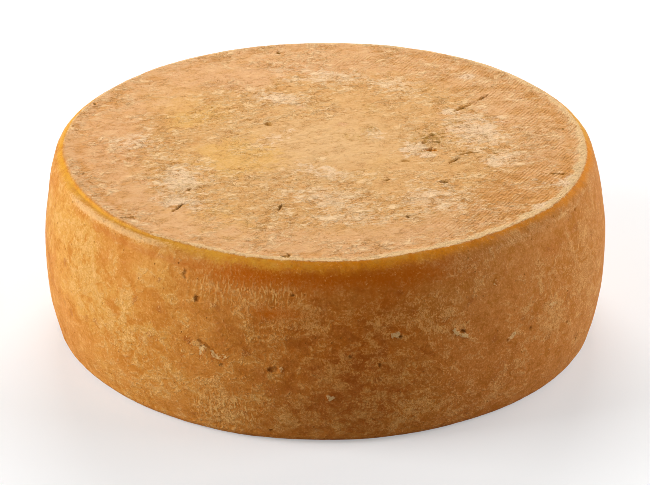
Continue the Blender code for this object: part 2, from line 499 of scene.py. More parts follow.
@dataclass
class Rind:
    """The whole cheese as one closed, finely worked piece.

    Directions and arcs are in degrees. Round the wheel, a width or a place is given as pairs of a
    direction and mm.

    Attributes:
        fineness: How often the ball's net is divided.
        faces: Triangles that are kept.
        base_density: Points on the lower face next to as many on the rest.
        room: Softness with which the rind is held inside its box.
        side_waves: Count, reach and start of each slow wave of the side.
        top_waves: Count, reach and start of each slow wave of the rim's height.
        crust_widths: Width of the pale lip.
        honey_widths: Width of the honey-coloured shoulder.
        ridge_places: Distance of the ridge below the rim.
        crust_rings: Distance from the middle of the top face, and how crusty it leans there.
        streaks: Direction, half arc, height, half height and strength of each streaked place.
        face_lumps: Height in mm and size of the top face's lumps.
        side_lumps: Height in mm and size of the side's lumps.
        face_pits: Spacing and radius of the pits in the faces.
        side_pits: Spacing and radius of the pits in the side.
        fray: How far the ragged noise wears a mark's edge.
        shape_end: Where a mark's shape ends, as a multiple of its reach.
        tone_end: Where a mark's colour ends, as a multiple of its reach.
    """

    outline: Outline
    fineness: int = 9
    faces: int = 196000
    base_density: float = 0.35
    room: float = 0.05 * MM
    side_waves: tuple = ((3, 0.25 * MM, 0.7), (5, 0.2 * MM, 2.1), (8, 0.15 * MM, 4.0))
    top_waves: tuple = ((5, 0.12 * MM, 1.9), (11, 0.1 * MM, 0.4))
    groove_middle: float = 219.0
    groove_half_arc: float = 31.0
    groove_depth: float = 0.9 * MM
    ridge_half_arc: float = 25.0
    ridge_rise: float = 0.6 * MM
    right_ridge: float = 0.42
    right_ridge_half_arc: float = 32.0
    lined_middle: float = 228.0
    lined_half_arc: float = 22.0
    crust_widths: tuple = (
        (20, 3.6), (100, 2.0), (172, 1.2), (188, 0.2), (225, 0.4), (240, 2.0), (252, 3.6),
        (285, 4.2), (305, 4.6), (335, 5.0), (355, 4.4),
    )
    honey_widths: tuple = (
        (0, 4.5), (90, 3.4), (170, 4.5), (188, 5.0), (198, 6.0), (212, 4.8), (224, 4.2), (238, 4.8),
        (250, 6.4), (262, 7.0), (285, 6.6), (298, 5.4), (310, 3.8), (320, 3.6), (332, 5.0), (344, 5.0),
    )
    ridge_places: tuple = ((190, 6.6), (208, 6.2), (224, 5.0), (242, 4.2), (300, 7.4), (350, 7.6))
    crust_rings: tuple = (
        (0.0, -0.30), (0.030, -0.20), (0.048, 0.20), (0.090, 0.20), (0.108, -0.20), (0.138, -0.05),
    )
    amber_start: float = 236.0
    amber_end: float = 284.0
    streaks: tuple = ((255.0, 16.0, 87 * MM, 8 * MM, 1.0), (250.0, 9.0, 18 * MM, 9 * MM, 1.1))
    dusty_middle: float = 326.0
    dusty_half_arc: float = 46.0
    face_lumps: tuple = ((0.22, 60 * MM), (0.16, 22 * MM))
    side_lumps: tuple = ((0.40, 55 * MM), (0.20, 17 * MM))
    scab_size: float = 6 * MM
    scab_grain: float = 2.4 * MM
    crumb_size: float = 3.4 * MM
    crumb_grain: float = 1.8 * MM
    face_pits: tuple = (7.5 * MM, 1.5 * MM)
    side_pits: tuple = (11 * MM, 1.0 * MM)
    fray: float = 0.40
    shape_end: float = 2.4
    tone_end: float = 3.0
    swell_start: float = 0.12
    swell_fade: float = 0.012
    seed: int = 41

    def __post_init__(self) -> None:
        """Set up the noises that the relief is drawn from."""
        self.lumps = Grain(self.seed)
        self.pebbles = Grain(self.seed + 1)
        self.edges = Grain(self.seed + 2)
        self.patches = Grain(self.seed + 3)

    def net(self) -> bpy.types.Mesh:
        """Even net of triangles.

        Returns:
            The net, on a ball of radius 1.
        """
        ball = bmesh.new()
        bmesh.ops.create_icosphere(ball, subdivisions=self.fineness, radius=1.0)
        mesh = bpy.data.meshes.new(PIECE)
        ball.to_mesh(mesh)
        ball.free()
        return mesh

    def skin(self, ball: np.ndarray) -> Skin:
        """Lay the ball's points on the wheel, so that the net stays even.

        Args:
            ball: Points of the net on the ball.

        Returns:
            The smooth wheel.
        """
        line = self.outline.line
        along = self.outline.along
        density = np.where(along > self.outline.base_start, self.base_density, 1.0)
        ring = 0.5 * (line[1:, 0] + line[:-1, 0]) * np.diff(along)
        area = np.concatenate([[0.0], np.cumsum(ring * 0.5 * (density[1:] + density[:-1]))])
        share = 0.5 * (1.0 - ball[:, 2] / np.linalg.norm(ball, axis=1))
        place = np.interp(share, area / area[-1], along)
        angle = np.arctan2(ball[:, 1], ball[:, 0])
        radius = np.interp(place, along, line[:, 0])
        height = np.interp(place, along, line[:, 1])
        out = np.interp(place, along, self.outline.facing[:, 0])
        up = np.interp(place, along, self.outline.facing[:, 1])
        points = np.stack([radius * np.cos(angle), radius * np.sin(angle), height], axis=1)
        facing = np.stack([out * np.cos(angle), out * np.sin(angle), up], axis=1)
        facing /= np.linalg.norm(facing, axis=1)[:, None]
        ragged = self.edges.layers(points, 2.4 * MM, 3, 0.7)
        sway = tuple(self.patches.layers(points + shift, 3.4 * MM, 2) for shift in (0.0, 0.7))
        return Skin(points, facing, place, angle, height, ragged, sway)

    def arc(self, skin: Skin, middle: float, half: float) -> np.ndarray:
        """Window round the wheel: 1 near the middle direction, 0 past the half arc."""
        apart = np.abs(turn_between(skin.angle, middle))
        return ease(1.6 * (1.0 - apart / math.radians(half)))

    def round_about(self, skin: Skin, widths: tuple) -> np.ndarray:
        """Width that changes round the wheel.

        Args:
            skin: The smooth wheel.
            widths: Pairs of a direction and a width in mm.

        Returns:
            The width at each point, in metres.
        """
        directions, sizes = zip(*widths)
        turned = np.degrees(skin.angle) % 360.0
        return np.interp(turned, directions, sizes, period=360.0) * MM

    def waves(self, skin: Skin, terms: tuple) -> np.ndarray:
        """Sum of slow waves round the wheel."""
        return sum(reach * np.cos(count * skin.angle + start) for count, reach, start in terms)

    def regions(self, skin: Skin) -> dict:
        """How much each point belongs to each stretch of the wheel.

        Args:
            skin: The smooth wheel.

        Returns:
            Weights from 0 to 1 by the stretch's name.
        """
        past = skin.along - self.outline.rim
        wobble = self.edges.at(skin.points, 9 * MM)
        frayed = 0.5 * MM * skin.ragged
        base = ease((skin.along - self.outline.base_start + 4 * MM) / (6 * MM))
        face = 1.0 - ease((past + 0.8 * MM + frayed) / (1.6 * MM))
        crust = self.round_about(skin, self.crust_widths) * (1.0 + 0.7 * wobble)
        pale = ease((past + crust + 1.6 * frayed) / (1.9 * MM))
        pale *= 1.0 - ease((past - 0.2 * MM + frayed) / (1.2 * MM))
        honey_width = self.round_about(skin, self.honey_widths) * (1.0 + 0.25 * wobble)
        honey = ease((past - 0.2 * MM) / (1.2 * MM))
        honey *= 1.0 - ease((past + frayed - 0.35 * honey_width) / (1.15 * honey_width))
        groove = self.arc(skin, self.groove_middle, self.groove_half_arc)
        ridge = self.arc(skin, self.groove_middle, self.ridge_half_arc)
        ridge += self.right_ridge * self.arc(skin, self.dusty_middle, self.right_ridge_half_arc)
        ridge_place = self.round_about(skin, self.ridge_places)
        ridge_line = past - ridge_place + 0.6 * MM * wobble
        return {
            "face": np.maximum(face, base),
            "base": base,
            "side": 1.0 - np.maximum(face, base),
            "lip": pale * (1.0 - base),
            "crest": bell((past + 0.9 * MM) / (1.5 * MM)),
            "shoulder": honey,
            "groove": groove * bell((past - 0.40 * ridge_place) / (1.4 * MM)),
            "ridge": ridge * bell(ridge_line / (2.0 * MM)) * (1.0 - base),
            "near_rim": bell(past / (14 * MM)),
        }

    def crust(self, skin: Skin) -> np.ndarray:
        """How crusty the rind is.

        Args:
            skin: The smooth wheel.

        Returns:
            One value a point, from 0 where the rind lies closed to 1 where it crumbles.
        """
        rings, leans = zip(*self.crust_rings)
        lean = np.interp(np.hypot(skin.points[:, 0], skin.points[:, 1]), rings, leans)
        level = 0.9 * self.patches.layers(skin.points + 0.4, 24 * MM, 5, 0.65) + lean
        level += 0.55 * self.tone(skin, Form.BLOOM) + 0.6 * self.tone(skin, Form.CRUMBLE)
        level -= 0.7 * self.tone(skin, Form.CALM)
        return ease(0.5 + 0.9 * level)

    def relief(self, skin: Skin, here: dict) -> np.ndarray:
        """Height of the worked rind over the smooth wheel.

        Args:
            skin: The smooth wheel.
            here: Weights of the stretches.

        Returns:
            One height a point, in metres.
        """
        at = skin.points
        rough = 0.15 + 0.85 * self.crust(skin)
        scab = self.pebbles.layers(at, self.scab_size, 3, 0.7)
        plates = ease((scab - 0.05) / 0.22)
        fine = self.pebbles.at(at + 0.2, self.scab_grain)
        face = sum(height * self.lumps.at(at, size) for height, size in self.face_lumps)
        face += rough * (0.16 * scab + 0.20 * plates + 0.14 * fine)
        side = sum(height * self.lumps.at(at, size) for height, size in self.side_lumps)
        side += 0.07 * scab + 0.05 * fine
        crest = 0.22 * self.edges.at(at, 12 * MM) + 0.16 * skin.ragged - 0.05
        crest -= 0.45 * ease((self.edges.at(at + 0.3, 6 * MM) - 0.42) / 0.2)
        total = here["face"] * face + here["side"] * side + here["crest"] * crest
        total -= here["groove"] * self.groove_depth / MM
        total += here["ridge"] * (self.ridge_rise / MM + 0.25 * skin.ragged)
        pits = self.pits(at, *self.face_pits) * here["face"] * rough
        pits += 0.5 * self.pits(at + 0.5, *self.side_pits) * here["side"]
        total -= 0.45 * pits
        crumble = np.clip(self.tone(skin, Form.CRUMBLE), 0.0, 1.0)
        crumbs = 0.8 * self.edges.at(at, self.crumb_size) + 0.5 * self.pebbles.at(at, self.crumb_grain)
        total += crumble * crumbs
        total += self.marks(skin)
        return total * MM

    def pits(self, points: np.ndarray, spacing: float, radius: float) -> np.ndarray:
        """Scattered small pits.

        Args:
            points: Places, one a row.
            spacing: Mean distance between pits.
            radius: Radius of the largest.

        Returns:
            Depth from 0 to 1 at each point.
        """
        generator = np.random.default_rng(self.seed + 9)
        jitter = generator.random((PIT_ROWS, 4))
        cell = np.floor(points / spacing).astype(np.int64)
        depth = np.zeros(len(points))
        for step in np.ndindex(3, 3, 3):
            at = cell + np.array(step) - 1
            row = np.bitwise_xor.reduce(at * PIT_PRIMES, axis=1) % PIT_ROWS
            middle = (at + jitter[row, :3]) * spacing
            size = radius * (0.4 + 0.6 * jitter[row, 3])
            far = np.linalg.norm(points - middle, axis=1) / size
            depth = np.maximum(depth, ease(1.3 * (1.0 - far)))
        return depth

    def marks(self, skin: Skin) -> np.ndarray:
        """Shapes of the placed holes, cracks and flakes.

        Args:
            skin: The smooth wheel.

        Returns:
            One height a point, in mm.
        """
        total = np.zeros(len(skin.points))
        for mark in FACE_MARKS + SIDE_MARKS:
            if mark.depth == 0.0:
                continue
            far = mark.reach(skin, self.outline)
            near = far < self.shape_end
            ragged = skin.ragged[near]
            worn = far[near] + self.fray * ragged
            if mark.form is Form.FLAKE:
                total[near] += mark.depth * ease(3.0 * (1.1 - worn)) * (0.8 + 0.8 * ragged)
            else:
                total[near] -= mark.depth * ease(2.2 * (1.0 - worn))
                total[near] += 0.16 * mark.depth * bell((worn - 1.3) / 0.3) * (1.0 + ragged)
        return total

    def tone(self, skin: Skin, form: Form) -> np.ndarray:
        """How strongly one form of mark colours each point.

        Args:
            skin: The smooth wheel.
            form: The form of mark.

        Returns:
            Strengths, mostly from 0 to 1.
        """
        total = np.zeros(len(skin.points))
        for mark in FACE_MARKS + SIDE_MARKS:
            if mark.form is not form:
                continue
            far = mark.reach(skin, self.outline)
            near = far < self.tone_end
            if form in SOFT_FORMS:
                total[near] = np.maximum(total[near], mark.power * bell(far[near]))
            else:
                worn = far[near] + self.fray * skin.ragged[near]
                total[near] = np.maximum(total[near], mark.power * ease(2.6 * (1.0 - worn)))
        return total

    def tones(self, skin: Skin, here: dict) -> dict:
        """Colour weights that the finish reads from the mesh.

        Args:
            skin: The smooth wheel.
            here: Weights of the stretches.

        Returns:
            One array for each named weight.
        """
        past = skin.along - self.outline.rim
        wobble = self.patches.at(skin.points, 16 * MM) + 0.5 * skin.ragged
        turned = np.degrees(skin.angle) % 360.0 + 3.0 * wobble
        across = ease((turned - self.amber_start) / 20.0)
        across *= 1.0 - ease((turned - self.amber_end) / 24.0)
        down = ease((past - 1.5 * MM + 0.6 * MM * wobble) / (8.0 * MM))
        down *= 1.0 - ease((past - 10 * MM + 3.0 * MM * wobble) / (14 * MM))
        holes = self.tone(skin, Form.HOLE) + self.tone(skin, Form.CRACK)
        small = self.pits(skin.points, *self.face_pits) * here["face"]
        small += self.pits(skin.points + 0.5, *self.side_pits) * here["side"]
        lined = self.arc(skin, self.lined_middle, self.lined_half_arc)
        out = np.hypot(skin.points[:, 0], skin.points[:, 1])
        outer = ease((out - 84 * MM) / (30 * MM))
        right = ease((skin.points[:, 0] + 10 * MM) / (90 * MM))
        rim_shade = bell((past + 8 * MM + MM * wobble) / (3 * MM)) * here["face"]
        streaked = sum(
            power * self.arc(skin, middle, half) * bell((skin.height - height) / tall)
            for middle, half, height, tall, power in self.streaks
        )
        plain = (Form.BLOOM, Form.GOLD, Form.BLUSH, Form.CALM, Form.CRUMBLE, Form.FLAKE, Form.RED)
        return {
            **{form.value: self.tone(skin, form) for form in plain},
            "face": here["face"],
            "lip": here["lip"],
            "honey": here["shoulder"],
            "ridge": here["ridge"],
            "amber": np.maximum(across * down, self.tone(skin, Form.AMBER)) * here["side"],
            "lined": lined * bell((past - 12 * MM) / (5 * MM)),
            "streaked": streaked * here["side"],
            "dusty": self.arc(skin, self.dusty_middle, self.dusty_half_arc),
            "cloth": self.tone(skin, Form.CLOTH) + 0.5 * outer * right,
            "crust": self.crust(skin),
            "outer": outer,
            "middle": bell(out / (48 * MM)),
            # Umber marks, painted shade in the ring just inside the rim, and a darker front of the side
            # that is partly painted shade.
            "umber_and_shade": self.tone(skin, Form.UMBER_AND_SHADE) + 0.4 * rim_shade,
            "hollow": np.clip(holes + 0.6 * small, 0.0, 1.5),
        }

    def worked(self, skin: Skin, here: dict) -> np.ndarray:
        """Work the smooth wheel into the rind.

        Args:
            skin: The smooth wheel.
            here: Weights of the stretches.

        Returns:
            The points, before any that stand out too far are held back.
        """
        rise = self.relief(skin, here)
        points = skin.points + skin.facing * rise[:, None]
        out = np.hypot(points[:, 0], points[:, 1])
        moved = here["side"] * (1.0 - here["near_rim"]) * self.waves(skin, self.side_waves)
        for swell in SWELLS:
            reach = bell((skin.height - swell.height * MM) / (swell.half_height * MM))
            reach *= ease((out - self.swell_start) / self.swell_fade)
            moved += swell.out * MM * reach * self.arc(skin, swell.degrees, swell.half_arc)
        scale = 1.0 + moved / np.maximum(out, 1 * MM) * (out > 20 * MM)
        points[:, 0] *= scale
        points[:, 1] *= scale
        points[:, 2] += here["near_rim"] * (1.0 - here["base"]) * self.waves(skin, self.top_waves)
        return points

    def held(self, values: np.ndarray, limit: float) -> np.ndarray:
        """Softly hold values below a limit."""
        return limit - self.room * np.logaddexp(0.0, (limit - values) / self.room)

    def settle(self, points: np.ndarray, low: np.ndarray, high: np.ndarray) -> np.ndarray:
        """Keep the few points that stand out too far inside the solid's own box.

        Args:
            points: The worked rind.
            low: The box's lowest corner.
            high: The box's highest corner.

        Returns:
            The points, inside that box, with their foot on its floor.
        """
        out = np.maximum(np.hypot(points[:, 0], points[:, 1]), 1 * MM)
        scale = self.held(out, 0.5 * (high[0] - low[0])) / out
        height = self.held(points[:, 2], high[2])
        height = -self.held(-height, -low[2])
        height += low[2] - height.min()
        return np.stack([points[:, 0] * scale, points[:, 1] * scale, height], axis=1)

    def build(self, low: np.ndarray, high: np.ndarray) -> bpy.types.Object:
        """Make the rind's mesh with its colour weights.

        Args:
            low: The lowest corner of the wheel's box.
            high: The highest corner of the wheel's box.

        Returns:
            The rind, closed and smooth, at its place in the scene.
        """
        mesh = self.net()
        ball = np.empty(len(mesh.vertices) * 3, np.float32)
        mesh.vertices.foreach_get("co", ball)
        skin = self.skin(ball.reshape(-1, 3).astype(float))
        here = self.regions(skin)
        points = self.settle(self.worked(skin, here), low, high)
        mesh.vertices.foreach_set("co", points.astype(np.float32).ravel())
        for name, values in self.tones(skin, here).items():
            layer = mesh.attributes.new(name, "FLOAT", "POINT")
            layer.data.foreach_set("value", values.astype(np.float32))
        mesh.update()
        rind = bpy.data.objects.new(PIECE, mesh)
        bpy.context.scene.collection.objects.link(rind)
        self.thin(rind)
        rind.data.shade_smooth()
        return rind

    def thin(self, rind: bpy.types.Object) -> None:
        """Keep the triangles where the rind is worked and join them where it is plain.

        Args:
            rind: The rind, whose mesh is replaced.
        """
        if len(rind.data.polygons) <= self.faces:
            return
        fewer = rind.modifiers.new("Fewer", "DECIMATE")
        fewer.ratio = self.faces / len(rind.data.polygons)
        seen = rind.evaluated_get(bpy.context.evaluated_depsgraph_get())
        mesh = bpy.data.meshes.new_from_object(seen)
        rind.modifiers.clear()
        rind.data = mesh
        mesh.name = PIECE

    def dress(self, rind: bpy.types.Object) -> None:
        """Give the rind its finish."""
        rind.data.materials.clear()
        rind.data.materials.append(RindFinish().make())


Socket = bpy.types.NodeSocket


@dataclass(frozen=True)
class Noise:
    """One kind of noise in a finish.

    Attributes:
        size: Width of a lump in metres.
        detail: How many finer layers it has.
        keep: Strength of each finer layer.
        twist: How far it is twisted.
    """

    size: float
    detail: float = 2.0
    keep: float = 0.5
    twist: float = 0.0


class Value:
    """One number in a finish, which sums like a plain number."""

    def __init__(self, shade: "Shading", socket: Socket) -> None:
        """Wrap a socket.

        Args:
            shade: The nodes' maker.
            socket: The socket that the number comes from.
        """
        self.shade = shade
        self.socket = socket

    def __add__(self, other: "Number") -> "Value":
        """Sum of this and another number."""
        return self.shade.math("ADD", self, other)

    def __sub__(self, other: "Number") -> "Value":
        """This less another number."""
        return self.shade.math("SUBTRACT", self, other)

    def __rsub__(self, other: "Number") -> "Value":
        """Another number less this."""
        return self.shade.math("SUBTRACT", other, self)

    def __mul__(self, other: "Number") -> "Value":
        """Product of this and another number."""
        return self.shade.math("MULTIPLY", self, other)

    def __abs__(self) -> "Value":
        """This number without its sign."""
        return self.shade.math("ABSOLUTE", self)

    __radd__ = __add__
    __rmul__ = __mul__

    def step(self, low: float, high: float, first: float = 0.0, last: float = 1.0) -> "Value":
        """Smooth step from one value to another.

        Args:
            low: Where the step starts.
            high: Where it ends.
            first: The result below the start.
            last: The result above the end.

        Returns:
            The result.
        """
        inputs = dict(enumerate((self, low, high, first, last)))
        node = self.shade.node("MapRange", inputs, interpolation_type="SMOOTHSTEP")
        return Value(self.shade, node.outputs["Result"])


Number = Union[Value, float]
Colour = Union[Socket, tuple]


class Shading:
    """Short names for the nodes that a finish is built from."""

    def __init__(self, name: str) -> None:
        """Start an empty material with one Principled shader.

        Args:
            name: The material's name.
        """
        self.material = bpy.data.materials.new(name)
        self.material.use_nodes = True
        self.tree = self.material.node_tree
        self.shader = self.tree.nodes["Principled BSDF"]
        self.place = self.tree.nodes.new("ShaderNodeTexCoord").outputs["Object"]

    def put(self, socket: Socket, value: Union[Number, Colour]) -> None:
        """Set a socket.

        Args:
            socket: The socket.
            value: A number, place or colour to set it to, or what it is linked to.
        """
        source = value.socket if isinstance(value, Value) else value
        if isinstance(source, bpy.types.NodeSocket):
            self.tree.links.new(source, socket)
        elif isinstance(source, tuple) and len(source) == 3 and socket.type == "RGBA":
            socket.default_value = (*source, 1.0)
        else:
            socket.default_value = source

    def node(self, kind: str, inputs: dict, **settings: Union[str, bool]) -> bpy.types.Node:
        """New node.

        Args:
            kind: The node's type, without its leading ShaderNode.
            inputs: Values or sockets by the input's name or number.
            settings: The node's own settings.

        Returns:
            The node.
        """
        node = self.tree.nodes.new("ShaderNode" + kind)
        for name, value in settings.items():
            setattr(node, name, value)
        for name, value in inputs.items():
            self.put(node.inputs[name], value)
        return node

    def finish(self, inputs: dict) -> bpy.types.Material:
        """Set the Principled shader.

        Args:
            inputs: Values or sockets by the input's name.

        Returns:
            The finished material.
        """
        for name, value in inputs.items():
            self.put(self.shader.inputs[name], value)
        return self.material

    def weight(self, name: str) -> Value:
        """A colour weight that the mesh carries."""
        return Value(self, self.node("Attribute", {}, attribute_name=name).outputs["Fac"])

    def math(self, kind: str, first: Number, second: Number = 0.0, clamp: bool = False) -> Value:
        """One sum on two numbers, held from 0 to 1 if it is clamped."""
        node = self.node("Math", {0: first, 1: second}, operation=kind, use_clamp=clamp)
        return Value(self, node.outputs[0])

    def most(self, *terms: Number) -> Value:
        """Largest of several numbers."""
        return functools.reduce(functools.partial(self.math, "MAXIMUM"), terms)

    def blend(self, share: Value, first: Number, second: Number) -> Value:
        """Mix of two numbers, by a share from 0 to 1."""
        return first + share * self.math("SUBTRACT", second, first)

    def mix(self, share: Value, first: Colour, second: Colour) -> Socket:
        """Mix of two colours, by a share from 0 to 1."""
        return self.node("Mix", {"Factor": share, 6: first, 7: second}, data_type="RGBA").outputs[2]

    def tint(self, colour: Colour, over: Colour, value: Value, low: float, high: float,
             share: float = 1.0) -> Socket:
        """Colour with another laid over it, up to a share, where a value steps from low to high."""
        return self.mix(value.step(low, high, 0.0, share), colour, over)

    def stretched(self, scale: tuple = (1.0, 1.0, 1.0), turn: float = 0.0,
                  shift: float = 0.0) -> Socket:
        """Places, shifted, turned about the wheel's axis and then stretched.

        Args:
            scale: Factors along X, Y and Z after the turn.
            turn: Degrees about the wheel's axis.
            shift: Distance that the pattern is shifted by.

        Returns:
            The places' socket.
        """
        turned = self.node("Mapping", {
            "Rotation": (0.0, 0.0, math.radians(turn)), "Location": (shift, shift, shift),
            "Vector": self.place,
        })
        return self.node("Mapping", {"Scale": scale, "Vector": turned.outputs[0]}).outputs[0]

    def noise(self, kind: Noise, places: Optional[Socket] = None) -> Value:
        """Noise around 0.5.

        Args:
            kind: Its size and how fine it is.
            places: Where it is read, or None for the plain places.

        Returns:
            The noise.
        """
        return Value(self, self.node("TexNoise", {
            "Vector": self.place if places is None else places, "Scale": 1.0 / kind.size,
            "Detail": kind.detail, "Roughness": kind.keep, "Distortion": kind.twist,
        }).outputs["Fac"])

    def grain(self, kind: Noise, places: Optional[Socket] = None) -> Value:
        """Noise around 0, read at the plain places unless others are given."""
        return self.noise(kind, places) - 0.5

    def bands(self, pitch: float, places: Socket, twist: float) -> Value:
        """Parallel ribs along X of the given places.

        Args:
            pitch: Distance from one rib to the next.
            places: Where they are read.
            twist: How uneven they are.

        Returns:
            Height from -0.5 to 0.5.
        """
        return Value(self, self.node("TexWave", {
            "Vector": places, "Scale": math.pi / 10.0 / pitch, "Distortion": twist, "Detail": 2.0,
            "Detail Scale": 1.3,
        }, wave_type="BANDS", bands_direction="Y").outputs["Fac"]) - 0.5

    def cells(self, size: float) -> tuple:
        """Distance to the nearest of scattered points, and each one's own number.

        Args:
            size: Mean distance between the points.

        Returns:
            The distance and the number.
        """
        node = self.node("TexVoronoi", {"Vector": self.place, "Scale": 1.0 / size})
        split = self.node("SeparateColor", {0: node.outputs["Color"]})
        return Value(self, node.outputs["Distance"]), Value(self, split.outputs[0])

    def bump(self, height: Value, distance: float) -> Socket:
        """Fine relief on the surface, where a height of 1 stands for a distance in metres."""
        inputs = {"Height": height, "Distance": distance, "Strength": 1.0}
        return self.node("Bump", inputs).outputs["Normal"]


@dataclass(frozen=True)
class RindFinish:
    """Colours, fine relief and gloss of the washed rind."""

    # Colours of the flat faces, where the crevice shade colour is painted shade in the low spots and
    # creases.
    tan: tuple = (0.702, 0.358, 0.110)
    pale_tan: tuple = (0.740, 0.425, 0.170)
    golden: tuple = (0.770, 0.410, 0.095)
    rosy: tuple = (0.735, 0.382, 0.165)
    cream: tuple = (0.890, 0.595, 0.290)
    brown: tuple = (0.620, 0.255, 0.045)
    crevice_shade: tuple = (0.400, 0.150, 0.018)
    frost: tuple = (0.900, 0.630, 0.380)
    gap: tuple = (0.580, 0.310, 0.050)
    # Colours of the lip, the ridge and the shoulder, and of pale flecks that are partly painted glints.
    pale_lip: tuple = (0.880, 0.575, 0.270)
    ridge_crust: tuple = (0.880, 0.515, 0.215)
    honey: tuple = (0.730, 0.345, 0.034)
    honey_brown: tuple = (0.740, 0.238, 0.005)
    amber: tuple = (0.510, 0.108, 0.001)
    fleck_and_glint: tuple = (0.860, 0.500, 0.160)
    # Colours of the side, and of its darker front, which is partly painted shade on the side turned
    # from the lamps.
    side: tuple = (0.615, 0.248, 0.048)
    side_gold: tuple = (0.655, 0.318, 0.066)
    side_red: tuple = (0.520, 0.160, 0.030)
    side_dark: tuple = (0.505, 0.176, 0.020)
    side_dusty: tuple = (0.620, 0.245, 0.062)
    stain: tuple = (0.420, 0.130, 0.020)
    front: tuple = (0.510, 0.122, 0.004)
    front_rosy: tuple = (0.480, 0.123, 0.015)
    front_dark: tuple = (0.340, 0.068, 0.003)
    thread: tuple = (0.810, 0.445, 0.150)
    dull_thread: tuple = (0.780, 0.335, 0.075)
    dusty_thread: tuple = (0.765, 0.375, 0.122)
    # Colours of the holes, the cracks and the flakes.
    flake: tuple = (0.800, 0.530, 0.235)
    hole: tuple = (0.400, 0.140, 0.018)
    olive: tuple = (0.500, 0.235, 0.030)
    fallen: tuple = (0.660, 0.240, 0.025)
    # Noises that the colours and the fine relief follow.
    dashes: Noise = Noise(2.6 * MM, keep=0.6)
    weft: Noise = Noise(1.5 * MM, 1.0)
    face_patches: Noise = Noise(34 * MM, 3.0, 0.55, 0.4)
    face_blots: Noise = Noise(10 * MM, 3.0, 0.60, 0.6)
    face_crumbs: Noise = Noise(4.2 * MM, 4.0, 0.72, 0.6)
    face_chips: Noise = Noise(1.3 * MM, 2.0, 0.65, 0.4)
    face_folds: Noise = Noise(3.0 * MM, 2.0, 0.65, 0.9)
    face_creases: Noise = Noise(6.5 * MM, 3.0, 0.65, 1.2)
    side_patches: Noise = Noise(38 * MM, 3.0, 0.55, 0.4)
    side_blots: Noise = Noise(12 * MM, 3.0, 0.62, 0.8)
    side_spots: Noise = Noise(4.4 * MM, 3.0, 0.62, 0.8)
    side_specks: Noise = Noise(1.2 * MM, 2.0, 0.6, 0.5)
    side_streaks: Noise = Noise(1.1 * MM, 1.0)
    small_threads: Noise = Noise(2.5 * MM, 2.0, 0.6, 1.4)
    large_threads: Noise = Noise(3.7 * MM, 2.0, 0.6, 1.4)
    edge_blots: Noise = Noise(7 * MM, 3.0, 0.60, 0.6)
    grit: Noise = Noise(1.1 * MM, 3.0, 0.65, 0.5)
    # Sizes and directions of the finer patterns, and the gloss.
    pebble_size: float = 2.4 * MM
    stain_size: float = 13 * MM
    dot_size: float = 4.2 * MM
    thread_shift: float = 31 * MM
    cloth_turn: float = 61.0
    cloth_pitch: float = 1.85 * MM
    crease_turn: float = 22.0
    line_pitch: float = 1.1 * MM
    roughness: float = 0.56
    uneven_gloss: float = 0.08
    shine: float = 0.05
    ior: float = 1.45
    relief: float = 0.8 * MM

    def cloth(self, shade: Shading) -> Value:
        """Ribs that the cloth pressed into the face.

        Args:
            shade: The nodes' maker.

        Returns:
            Height around 0.
        """
        dashes = shade.noise(self.dashes, shade.stretched((0.55, 1.0, 1.0), -self.cloth_turn))
        weft = shade.grain(self.weft, shade.stretched((1.0, 0.35, 1.0), -self.cloth_turn))
        ribs = shade.bands(self.cloth_pitch, shade.stretched(turn=-self.cloth_turn), 2.6)
        return 0.85 * (ribs * dashes.step(0.36, 0.62, 0.10, 1.0)) + weft

    def face_finish(self, shade: Shading) -> tuple:
        """Colour and fine relief of the two flat faces.

        Args:
            shade: The nodes' maker.

        Returns:
            The colour and the relief.
        """
        outer = shade.weight("outer")
        crumble = shade.weight("crumble")
        lean = shade.stretched((0.66, 1.0, 1.0), -self.crease_turn)
        patches = shade.grain(self.face_patches)
        blots = shade.grain(self.face_blots)
        crumbs = shade.grain(self.face_crumbs, lean)
        chips = shade.grain(self.face_chips, lean)
        folds = shade.grain(self.face_folds, lean)
        crust = (shade.weight("crust") + 0.9 * crumbs + 0.7 * blots).step(-0.05, 0.80)
        woven = (shade.weight("cloth") + 0.6 * patches).step(0.0, 0.9) * (1.0 - 0.4 * crust)
        wide = abs(shade.grain(self.face_creases, lean)).step(0.0, 0.020, 1.0, 0.0)
        narrow = abs(folds).step(0.0, 0.035, 1.0, 0.0)
        creases = shade.most(wide * blots.step(0.02, -0.08), narrow * crumbs.step(0.02, -0.10))
        terrace = (crumbs + 0.25 * chips).step(0.02, 0.08)
        rough = 0.42 * terrace + 0.54 * crumbs + 0.48 * chips + 0.38 * folds
        even = 0.42 * chips + 0.58 * crumbs + 0.50 * folds
        pebbles, _ = shade.cells(self.pebble_size)
        gaps = (pebbles + 0.8 * chips).step(0.44, 0.60) * crumble
        ribs = self.cloth(shade) * woven
        height = 0.46 + shade.blend(crust, even, rough) + 0.74 * ribs
        height = height + creases * shade.blend(crust, -0.20, -0.32) - 0.5 * gaps
        golden = 0.8 * shade.weight("gold") + 1.1 * patches + 0.6 * blots
        rosy = 0.6 * shade.weight("blush") + 0.9 * blots + 0.45 * outer
